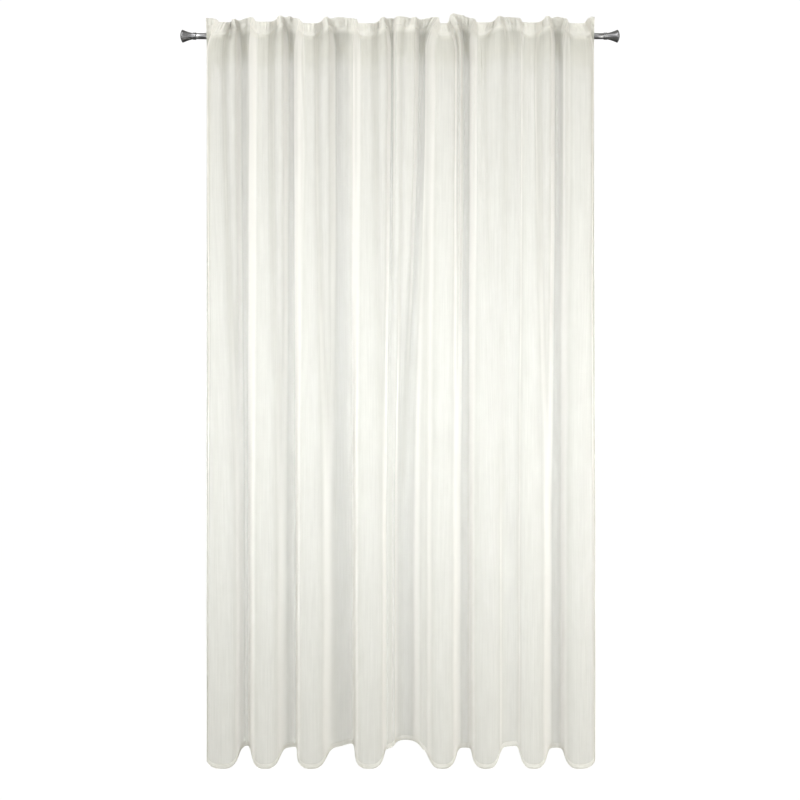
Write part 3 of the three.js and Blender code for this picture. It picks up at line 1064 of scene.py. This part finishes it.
    def relief(self, along: Array, down: Array) -> Array:
        """Small shapes on the folds: gathers under the top edge, pleats, soft creases and slack waves.

        Gathers and pleats are cosines of the distance along the cloth with a wandering phase, the gathers
        fading below the heading and the pleats further down. A crease is a bell curve across the cloth
        around a leaning line, eased in and out along its length. Slack is a product of two slow sines.

        Args:
            along: distances along the flat cloth, in millimetres.
            down: distances below the top edge, in millimetres.

        Returns:
            How far the cloth stands towards the room, rows by columns, in millimetres.
        """
        below, beside = down[:, None], along[None, :]
        turns = along / self.gather_pitch + waves(along, *self.gather_drift)
        drawn = self.gather_mean + waves(along, *self.gather_draw)
        gathers = self.gather_height * drawn * (0.5 - 0.5 * np.cos(2 * np.pi * turns))
        first, second, last = self.gather_rows
        lost = mix(ease(below, second, last), ease(below, first, second), self.gather_loss)
        stands = (1 - lost) * gathers + self.heading_relief(along, down)
        pleat_turns = along / self.pleat_pitch + waves(along, *self.pleat_drift)
        pleats = self.pleat_height * np.cos(2 * np.pi * pleat_turns)
        stands += ease(below, *self.pleat_start) * (1 - ease(below, *self.pleat_end)) * pleats
        place, start, end, height, half_width, lean = np.array(CREASES, dtype=float).T[:, :, None]
        share = np.clip((down - start) / (end - start), 0, 1)
        swell = np.sin(np.pi * share) ** 1.5 * height
        offset = along - (place + lean * share)[:, :, None]
        stands += np.sum(swell[:, :, None] * bell(offset / half_width[:, :, None]), axis=0)
        (short, high), (long, low) = self.slack_pitch
        slack = np.sin(beside / short + below / high) * np.sin(beside / long + below / low)
        return stands + self.slack_height * slack * ease(below, *self.slack_rows)

    def points(self, along: Array, down: Array, behind: Array | float = 0.0) -> Array:
        """Points of the cloth with its small shapes, moved towards the wall by a distance.

        The move is square to the cloth in plan: the section's direction turned by a right angle.

        Args:
            along: distances along the flat cloth, in millimetres.
            down: distances below the top edge, in millimetres.
            behind: distance behind the cloth, a number or one for each row and column, in millimetres.

        Returns:
            Points of the grid, rows by columns by three, in metres.
        """
        across = self.across_at(along)
        step = 0.02
        low = np.clip(across - step, 0, self.count - 1)
        high = np.clip(across + step, 0, self.count - 1)
        points = self.plain(across, down)
        run = unit((self.plain(high, down) - self.plain(low, down))[:, :, :2])
        move = behind - self.relief(along, down)
        points[:, :, 0] -= run[:, :, 1] * move
        points[:, :, 1] += run[:, :, 0] * move
        return points * MM


@dataclass
class VoilePanel:
    """The curtain's one length of voile, with its turned-down top, bottom hem and side hems in one mesh.

    Attributes:
        surface: the folds that it hangs in.
        columns: points across the cloth.
        facing, hem, side_hem: depth of the cloth turned to the back at the top, bottom and sides.
        facing_rows, hem_rows: rows of points in the facing, and in each hem.
        layer_gap: distance between the cloth and what is turned behind it.
    """

    surface: FoldSurface
    columns: int = 925
    facing: float = 55.0
    hem: float = 16.0
    side_hem: float = 14.0
    facing_rows: int = 8
    hem_rows: int = 4
    layer_gap: float = 0.6

    def rows(self) -> tuple[Array, Array, Array]:
        """Rows of the grid from the facing's free edge over the top, down the front and round the hem.

        Returns:
            Each row's distance below the top edge, its distance behind the cloth, and its flat coordinate.
        """
        drop = self.surface.drop
        heading, below_heading = (0, 120, 31), (128, 250, 12)
        body, lobe_ends = (275, drop - 70, 45), (drop - 60, drop, 9)
        bands = (heading, below_heading, body, lobe_ends)
        front = np.concatenate([np.linspace(start, end, count) for start, end, count in bands])
        facing = np.linspace(self.facing, 0, self.facing_rows)
        hem = np.linspace(drop, drop - self.hem, self.hem_rows)
        down = np.concatenate([facing, front, hem])
        behind = self.layer_gap * np.repeat([1, 0, 1], [len(facing), len(front), len(hem)])
        flat = np.concatenate([-facing, front, 2 * drop - hem])
        return down, behind, flat

    def build(self, finish: VoileFinish) -> bpy.types.Object:
        """Builds and dresses the panel.

        Args:
            finish: the cloth's finish.

        Returns:
            The panel.
        """
        width = self.surface.width
        down, behind_row, flat_down = self.rows()
        left = np.linspace(self.side_hem, 0, self.hem_rows)
        middle = np.linspace(0, width, self.columns)
        right = np.linspace(width, width - self.side_hem, self.hem_rows)
        along = np.concatenate([left, middle, right])
        flat_along = np.concatenate([-left, middle, 2 * width - right])
        behind_column = self.layer_gap * np.repeat([1, 0, 1], [len(left), len(middle), len(right)])
        points = self.surface.points(along, down, behind_row[:, None] + behind_column[None, :])
        flat = np.stack(np.meshgrid(flat_along, flat_down), axis=-1) * MM
        quads = grid_quads(len(down), len(along))
        piece = mesh_object("voile_panel", points.reshape(-1, 3), quads, flat.reshape(-1, 2))
        dress(piece, finish.material(), ("curtain_panel",))
        return piece


@dataclass
class HeadingTape:
    """Woven tape sewn behind the top edge.

    Attributes:
        surface: the folds that it follows.
        top, bottom: its edges below the cloth's top edge.
        front, back: its two faces behind the cloth.
        corner: power that rounds its section's corners.
        edge_wrap: how far the weave runs round its edges.
        end_inset: how far its ends stop short of the side edges.
        columns: points across it.
    """

    surface: FoldSurface
    top: float = 8.0
    bottom: float = 52.0
    front: float = 1.0
    back: float = 2.0
    corner: float = 0.25
    edge_wrap: float = 4.0
    end_inset: float = 22.0
    columns: int = 760

    def build(self, finish: WovenFinish) -> bpy.types.Object:
        """Carries a flat oval section along the heading and closes its ends.

        Args:
            finish: the tape's finish.

        Returns:
            The tape.
        """
        down_share, depth_share = strip_section(self.corner)
        down = mix(self.top, self.bottom, 0.5 + 0.5 * down_share)
        depth = mix(self.front, self.back, 0.5 + 0.5 * depth_share)
        along = np.linspace(self.end_inset, self.surface.width - self.end_inset, self.columns)
        along = np.concatenate([along[:1], along, along[-1:]])
        behind = np.repeat(depth[:, None], len(along), axis=1)
        behind[:, [0, -1]] = (self.front + self.back) / 2
        points = self.surface.points(along, down, behind)
        flat = np.stack(np.meshgrid(along, down + self.edge_wrap * depth_share), axis=-1) * MM
        quads = grid_quads(len(down), len(along), closed=True)
        piece = mesh_object("heading_tape_woven", points.reshape(-1, 3), quads, flat.reshape(-1, 2))
        close_seams(piece)
        dress(piece, finish.material(), ("heading_tape",))
        return piece


@dataclass
class BackTabs:
    """Short woven tabs that carry the heading on the rod.

    Attributes:
        surface: the cloth that they are sewn to.
        thick, corner: thickness of a tab, and the power that rounds its section's corners.
        waist: share of its width that it loses in its middle.
        clear: distance between a tab's middle and the rod.
        rod_radius: radius of the rod.
        upper_level, upper_sewn: where a tab leaves the tape above the rod, and the length sewn above that.
        lower_level, lower_sewn: where it meets the panel below the rod, and the length sewn below that.
        tape_rows, tape_behind: rows of the cloth at the tape, and a tab's distance behind the cloth there.
        panel_rows, panel_behind: rows of the cloth below the rod, and a tab's distance behind it there.
        arc_points, steps: points on the arc round the rod, and sections along the whole tab.
    """

    surface: FoldSurface
    thick: float = 1.0
    corner: float = 0.3
    waist: float = 0.05
    clear: float = 0.8
    rod_radius: float = 10.0
    upper_level: float = 14.0
    upper_sewn: float = 24.0
    lower_level: float = -46.0
    lower_sewn: float = 10.0
    tape_rows: tuple[float, ...] = (8.0, 30.0, 52.0)
    tape_behind: float = 2.8
    panel_rows: tuple[float, ...] = (80.0, 110.0, 140.0)
    panel_behind: float = 1.5
    arc_points: int = 16
    steps: int = 60

    def touch_angle(self, point: Array, turn: int) -> float:
        """Angle at which a line from a point touches the tab's circle round the rod.

        Args:
            point: y and z of the point.
            turn: -1 for the touch beyond the rod's top, 1 for the one below.

        Returns:
            The angle of the place on the circle, in radians: the point's own angle turned by the arc cosine
            of the circle's radius over the point's distance.
        """
        radius = self.rod_radius + self.clear
        return math.atan2(point[1], point[0]) + turn * math.acos(radius / math.hypot(*point))

    def path(self, start: float, end: float) -> Array:
        """A tab's middle line in the plane across the rod.

        Args:
            start, end: its side edges along the rod.

        Returns:
            Points of y and z: down the tape, round the rod on an arc, and down to the panel.
        """
        tape_side = self.surface.rearmost(self.tape_rows, start, end) + self.tape_behind
        panel_side = self.surface.rearmost(self.panel_rows, start, end) + self.panel_behind
        leaves = np.array([tape_side, self.upper_level])
        returns = np.array([panel_side, self.lower_level])
        first, last = self.touch_angle(leaves, -1), self.touch_angle(returns, 1)
        angles = np.linspace(first, last, self.arc_points)
        arc = (self.rod_radius + self.clear) * np.stack([np.cos(angles), np.sin(angles)], axis=1)
        above = leaves + np.array([0, self.upper_sewn])
        below = returns - np.array([0, self.lower_sewn])
        return np.concatenate([[above, leaves], arc, [returns, below]])

    def build_one(self, number: int, material: bpy.types.Material) -> bpy.types.Object:
        """Carries a flat section along one tab's path.

        The path is filled in to even steps, and at each the section lies along the rod and square to the
        path, a little narrower in its middle where the pull of the cloth draws it in.

        Args:
            number: number of the tab from the left.
            material: its finish.

        Returns:
            The tab.
        """
        node = f"back_tab_{number}"
        low, high = (np.array(corner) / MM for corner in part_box(node))
        path = self.path(low[0], high[0])
        reach = path_lengths(path)
        even = np.linspace(0, reach[-1], self.steps)
        y, z = (np.interp(even, reach, path[:, axis]) for axis in (0, 1))
        run = unit(np.gradient(np.stack([y, z], axis=1), axis=0))
        wide, deep = strip_section(self.corner)
        half = (high[0] - low[0]) / 2 * (1 - self.waist * np.sin(np.pi * even / reach[-1]))
        depth = np.full(len(even), self.thick / 2)
        depth[[0, -1]] = 0
        x = (low[0] + high[0]) / 2 + wide[:, None] * half[None, :]
        y = y[None, :] - deep[:, None] * (run[:, 1] * depth)[None, :]
        z = z[None, :] + deep[:, None] * (run[:, 0] * depth)[None, :]
        points = np.stack([x, y, z], axis=-1) * MM
        flat = np.stack([x, np.broadcast_to(even, x.shape)], axis=-1) * MM
        quads = grid_quads(len(wide), len(even), closed=True)
        piece = mesh_object(f"woven_tab_{number}", points.reshape(-1, 3), quads, flat.reshape(-1, 2))
        close_seams(piece)
        dress(piece, material, (node,))
        return piece

    def build(self, finish: WovenFinish) -> list[bpy.types.Object]:
        """Builds a tab for each tab node of the frame.

        Args:
            finish: the tabs' finish.

        Returns:
            The tabs from left to right.
        """
        material = finish.material()
        count = sum(name.startswith("back_tab_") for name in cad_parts)
        return [self.build_one(number, material) for number in range(1, count + 1)]


@dataclass
class Stitching:
    """Rows of lockstitch on the tape, the hem and the side hems.

    Attributes:
        surface: the cloth that they are sewn on.
        pitch, length, half_width, half_height: a stitch's spacing and size.
        proud: how far a stitch lies in front of the cloth.
        level_rows, end_inset: rows across the cloth, as distances below its top edge, and how far their
            ends stop short of the side edges.
        side_inset, side_top, side_end: distance of the side rows from the side edges, where they start
            below the top edge, and how far above the hem they end.
    """

    surface: FoldSurface
    pitch: float = 4.0
    length: float = 2.7
    half_width: float = 0.28
    half_height: float = 0.2
    proud: float = 0.25
    level_rows: tuple[float, ...] = (11.0, 49.0, 2436.0)
    end_inset: float = 6.0
    side_inset: float = 12.0
    side_top: float = 60.0
    side_end: float = 20.0

    def stitches(self, middle: Array, run: Array, side: Array, out: Array) -> Array:
        """Six corners of each stitch: its two ends, two sides, front and back.

        Args:
            middle: middle point of each stitch, in metres.
            run, side, out: unit directions along, across and out of the cloth at each.

        Returns:
            Corners, stitches by six by three.
        """
        shape = np.stack(
            [
                run * self.length / 2,
                side * self.half_width,
                out * self.half_height,
                -run * self.length / 2,
                -side * self.half_width,
                -out * self.half_height,
            ],
            axis=1,
        )
        return middle[:, None, :] + shape * MM

    def row(self, along: Array, down: Array) -> Array:
        """Stitches along a grid of one row or one column of the cloth.

        Args:
            along: distances along the flat cloth, in millimetres.
            down: distances below the top edge, in millimetres.

        Returns:
            Corners of the stitches, six for each point.
        """
        line = self.surface.points(along, down, -self.proud).reshape(-1, 3)
        behind = self.surface.points(along, down, self.proud).reshape(-1, 3)
        run = unit(np.gradient(line, axis=0))
        out = unit(line - behind)
        return self.stitches(line, run, np.cross(run, out), out)

    def build(self, finish: WovenFinish) -> bpy.types.Object:
        """Builds all rows as one mesh of eight-sided stitches.

        Args:
            finish: the thread's finish.

        Returns:
            The stitching.
        """
        width, drop = self.surface.width, self.surface.drop
        across = np.arange(self.end_inset, width - self.end_inset, self.pitch)
        rows = [self.row(across, np.array([down])) for down in self.level_rows]
        downward = np.arange(self.side_top, drop - self.side_end, self.pitch)
        sides = (self.side_inset, width - self.side_inset)
        rows += [self.row(np.array([place]), downward) for place in sides]
        corners = np.concatenate(rows)
        count = len(corners)
        faces = np.array(
            [[0, 1, 2], [1, 3, 2], [3, 4, 2], [4, 0, 2], [1, 0, 5], [3, 1, 5], [4, 3, 5], [0, 4, 5]]
        )
        triangles = (np.arange(count)[:, None, None] * 6 + faces[None]).reshape(-1, 3)
        end, side, middle = (self.length / 2, 0.0), (0.0, self.half_width), (0.0, 0.0)
        ahead = np.array([end, side, middle])
        flat = np.tile(np.concatenate([ahead, -ahead]) * MM, (count, 1))
        piece = mesh_object("stitching", corners.reshape(-1, 3), triangles, flat)
        close_seams(piece, 1e-9)
        dress(piece, finish.material())
        return piece


@dataclass
class CurtainRod:
    """The metal rod and its two flared end knobs, turned smooth.

    Attributes:
        sides: points round the rod.
        steps, knob_steps: points along the tube, and points for each one of the knob's profile.
        wall, lip: thickness of the tube, and how far its outer edges are taken off.
        knob: the knobs' profile, distance from the rod's end against radius, as shares of a knob's length
            outside the rod and of its largest radius.
    """

    sides: int = 96
    steps: int = 60
    knob_steps: int = 6
    wall: float = 1.2
    lip: float = 0.3
    knob: tuple[tuple[float, float], ...] = (
        (0.006, 0.0),
        (0.006, 0.54),
        (0.02, 0.571),
        (0.09, 0.571),
        (0.115, 0.535),
        (0.14, 0.571),
        (0.19, 0.571),
        (0.21, 0.54),
        (0.225, 0.505),
        (0.33, 0.543),
        (0.48, 0.648),
        (0.63, 0.781),
        (0.74, 0.895),
        (0.815, 0.981),
        (0.845, 1.0),
        (0.875, 0.995),
        (0.905, 0.925),
        (0.94, 0.75),
        (0.97, 0.54),
        (0.992, 0.3),
        (1.0, 0.0),
    )

    def turned(self, name: str, along: Array, radius: Array, closed: bool) -> bpy.types.Object:
        """A profile turned round the rod's axis.

        Args:
            name: name of the piece.
            along: places along the rod, in metres.
            radius: radius at each place, in metres.
            closed: whether the profile returns to its start.

        Returns:
            The turned piece: each profile point goes round a circle in the plane across the rod.
        """
        turn = np.linspace(0, 2 * np.pi, self.sides + 1)
        x = np.repeat(along[:, None], len(turn), axis=1)
        points = np.stack([x, radius[:, None] * np.cos(turn), radius[:, None] * np.sin(turn)], axis=-1)
        piece = mesh_object(name, points.reshape(-1, 3), grid_quads(len(along), len(turn), closed))
        close_seams(piece)
        return piece

    def build(self, finish: SatinSteelFinish) -> list[bpy.types.Object]:
        """Builds the tube and both knobs.

        Args:
            finish: the metal's finish.

        Returns:
            The tube and the knobs.
        """
        material = finish.material()
        low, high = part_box("rod")
        half, outer = high.x, high.z
        inner = outer - self.wall * MM
        lip = self.lip * MM
        outside = np.linspace(-half + lip, half - lip, self.steps)
        along = np.concatenate([outside, [half, half, -half, -half]])
        radius = np.concatenate([np.full(self.steps, outer), [outer - lip, inner, inner, outer - lip]])
        tube = self.turned("rod_tube", along, radius, closed=True)
        dress(tube, material, ("rod",))
        pieces = [tube]
        for side in Side:
            node = f"finial_{side.name.lower()}"
            low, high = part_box(node)
            tip = max(side.value * low.x, side.value * high.x)
            along, radius = self.knob_profile(tip - half, high.z)
            place = side.value * (half + along)
            knob = self.turned(f"end_knob_{side.name.lower()}", place, radius, closed=False)
            dress(knob, material, (node,))
            pieces.append(knob)
        return pieces

    def knob_profile(self, length: float, largest: float) -> tuple[Array, Array]:
        """A knob's profile at its real size, with its curves filled in.

        Args:
            length: length outside the rod, in metres.
            largest: largest radius, in metres.

        Returns:
            Places from the rod's end and radii, in metres, along a spline through the listed points.
        """
        listed = np.array(self.knob)
        places = np.linspace(0, len(listed) - 1, self.knob_steps * len(listed))
        drawn = spline_weights(places, len(listed)) @ listed
        radius = np.maximum(drawn[:, 1], 0) * largest
        radius[[0, -1]] = 0
        return drawn[:, 0] * length, radius


@dataclass(frozen=True)
class SoftLight:
    """A large soft light: its place, what it faces, size, power in watts, spread in degrees and colour."""

    name: str
    place: tuple[float, float, float]
    faces: tuple[float, float, float]
    size: tuple[float, float]
    power: float
    spread: float = 180.0
    colour: Colour = WHITE


@dataclass
class Studio:
    """Pale floor, soft light and the camera at the photograph's angle.

    Attributes:
        camera_place: in front of the middle of the cloth, level.
        lens, sensor, view_end: focal length and sensor width in millimetres, and how far the camera sees.
        floor_level, floor_half, floor_points: height, half size and points along an edge of the floor.
        floor_colour, floor_grain: colour of the floor, and how much of it its darkest grain keeps.
        floor_glow, floor_white, floor_reflected: the share of plain white in how the floor is seen, the
            brightness of that white, and how bright it is mirrored in the metal.
        sky: brightness of the surroundings where they are seen.
        ambience, ambience_colour: brightness and colour of the light that comes from all round.
        lights: the soft lights.
    """

    camera_place: tuple[float, float, float] = (0.0, -5.0, -1.2224)
    lens: float = 66.96
    sensor: float = 36.0
    view_end: float = 400.0
    floor_level: float = -2.75
    floor_half: float = 60.0
    floor_points: int = 9
    floor_colour: Colour = (0.96, 0.96, 0.955)
    floor_grain: float = 0.995
    floor_glow: float = 0.92
    floor_white: float = 1.12
    floor_reflected: float = 0.06
    sky: float = 1.04
    ambience: float = 0.3
    ambience_colour: Colour = (1.0, 0.985, 0.9)
    lights: tuple[SoftLight, ...] = (
        SoftLight("key", (2.4, -2.9, -1.3), (0.1, 0, -1.35), (0.8, 2.4), 25.0, 180.0, (1.0, 0.988, 0.95)),
        SoftLight("high_left", (-3.1, -2.8, 1.5), (0.35, 0, -0.5), (0.8, 0.8), 15.6, 64.0),
        SoftLight("top", (0.0, -1.8, 1.5), (0.0, 0, 0.0), (2.4, 0.5), 2.2, 44.0),
        SoftLight("middle", (0.0, -4.2, -1.25), (0.0, 0, -1.27), (2.2, 0.9), 10.7, 36.0, COOL),
        SoftLight("fill", (-0.5, -3.9, -1.5), (0.0, 0, -1.5), (0.9, 2.4), 11.5),
        SoftLight("right_strip", (2.1, -1.15, -1.2), (0.1, 0, -1.2), (0.4, 3.2), 20.0, 150.0, WARM),
        SoftLight("left_strip", (-3.0, -1.6, -1.25), (-0.1, 0, -1.25), (0.5, 3.2), 24.0, 150.0, WARM),
        SoftLight("window_left", (-2.3, 2.2, -1.1), (0.1, 0, -1.1), (0.8, 2.6), 12.0),
        SoftLight("window_right", (2.3, 2.2, -1.1), (-0.1, 0, -1.1), (0.8, 2.6), 12.0),
    )

    def build(self) -> None:
        """Builds floor, light and camera, and sets a plain view transform."""
        self.build_floor()
        self.build_sky()
        for light in self.lights:
            self.build_light(light)
        self.build_camera()
        bpy.context.scene.view_settings.view_transform = "Standard"

    def build_floor(self) -> None:
        """A wide level square of pale matt floor, far below the hem."""
        count = self.floor_points
        edge = np.linspace(-self.floor_half, self.floor_half, count)
        x, y = np.meshgrid(edge, edge)
        points = np.stack([x, y, np.full_like(x, self.floor_level)], axis=-1)
        floor = mesh_object("floor", points.reshape(-1, 3), grid_quads(count, count)[:, ::-1])
        material, sheet = new_material("pale_floor")
        place = sheet.add("ShaderNodeTexCoord").outputs["Object"]
        grain = sheet.output("ShaderNodeTexNoise", {"Vector": place, "Scale": 3.0, "Detail": 2.0})
        darkest = tuple(self.floor_grain * part for part in self.floor_colour)
        pale = sheet.blend(grain, self.floor_colour, darkest)
        matt = sheet.output("ShaderNodeBsdfPrincipled", {"Base Color": pale, "Roughness": 0.9})
        white = sheet.output("ShaderNodeEmission", {"Color": pale, "Strength": self.floor_white})
        dark = sheet.output("ShaderNodeEmission", {"Color": pale, "Strength": self.floor_reflected})
        ray = sheet.add("ShaderNodeLightPath").outputs
        seen = sheet.layer(sheet.math("MULTIPLY", ray["Is Camera Ray"], self.floor_glow), matt, white)
        shown = sheet.layer(ray["Is Glossy Ray"], seen, dark)
        sheet.add("ShaderNodeOutputMaterial", {"Surface": shown})
        floor.data.materials.append(material)

    def build_sky(self) -> None:
        """White surroundings where they are seen, and a softer, warmer light from all round."""
        world = bpy.data.worlds.new("studio_white")
        world.use_nodes = True
        sheet = NodeSheet(world.node_tree)
        soft_colour = (*self.ambience_colour, 1.0)
        white = sheet.output("ShaderNodeBackground", {"Color": (*WHITE, 1.0), "Strength": self.sky})
        soft = sheet.output("ShaderNodeBackground", {"Color": soft_colour, "Strength": self.ambience})
        seen = sheet.add("ShaderNodeLightPath").outputs["Is Camera Ray"]
        both = sheet.layer(seen, soft, white)
        sheet.add("ShaderNodeOutputWorld", {"Surface": both})
        bpy.context.scene.world = world

    def build_light(self, soft: SoftLight) -> None:
        """An area light turned to face its target, unseen by the camera."""
        data = bpy.data.lights.new(soft.name, "AREA")
        data.shape = "RECTANGLE"
        data.size, data.size_y = soft.size
        data.energy = soft.power
        data.color = soft.colour
        data.spread = math.radians(soft.spread)
        light = bpy.data.objects.new(soft.name, data)
        way = np.array(soft.faces) - np.array(soft.place)
        light.location = soft.place
        light.rotation_euler = (
            math.acos(-way[2] / np.linalg.norm(way)),
            0.0,
            math.atan2(way[1], way[0]) - math.pi / 2,
        )
        light.visible_camera = False
        bpy.context.scene.collection.objects.link(light)

    def build_camera(self) -> None:
        """A level camera that looks along +Y."""
        data = bpy.data.cameras.new("camera")
        data.sensor_width = self.sensor
        data.lens = self.lens
        data.clip_end = self.view_end
        camera = bpy.data.objects.new("camera", data)
        camera.location = self.camera_place
        camera.rotation_euler = (math.pi / 2, 0.0, 0.0)
        bpy.context.scene.collection.objects.link(camera)
        bpy.context.scene.camera = camera


def main() -> None:
    """Builds the studio and every piece of the curtain, and reports each."""
    logging.basicConfig(level=logging.INFO, format="%(name)s: %(message)s")
    Studio().build()
    surface = FoldSurface()
    panel = VoilePanel(surface)
    cloth = panel.build(VoileFinish())
    tape = HeadingTape(surface).build(WovenFinish("tape_weave"))
    tabs = BackTabs(surface).build(WovenFinish("tab_weave"))
    stitching = Stitching(surface).build(WovenFinish("thread", pitch=0.0004, relief=0.0001))
    metal = CurtainRod().build(SatinSteelFinish())
    for piece in (cloth, tape, *tabs, stitching, *metal):
        LOG.info("%s: %d faces", piece.name, len(piece.data.polygons))


if __name__ == "__main__":
    main()
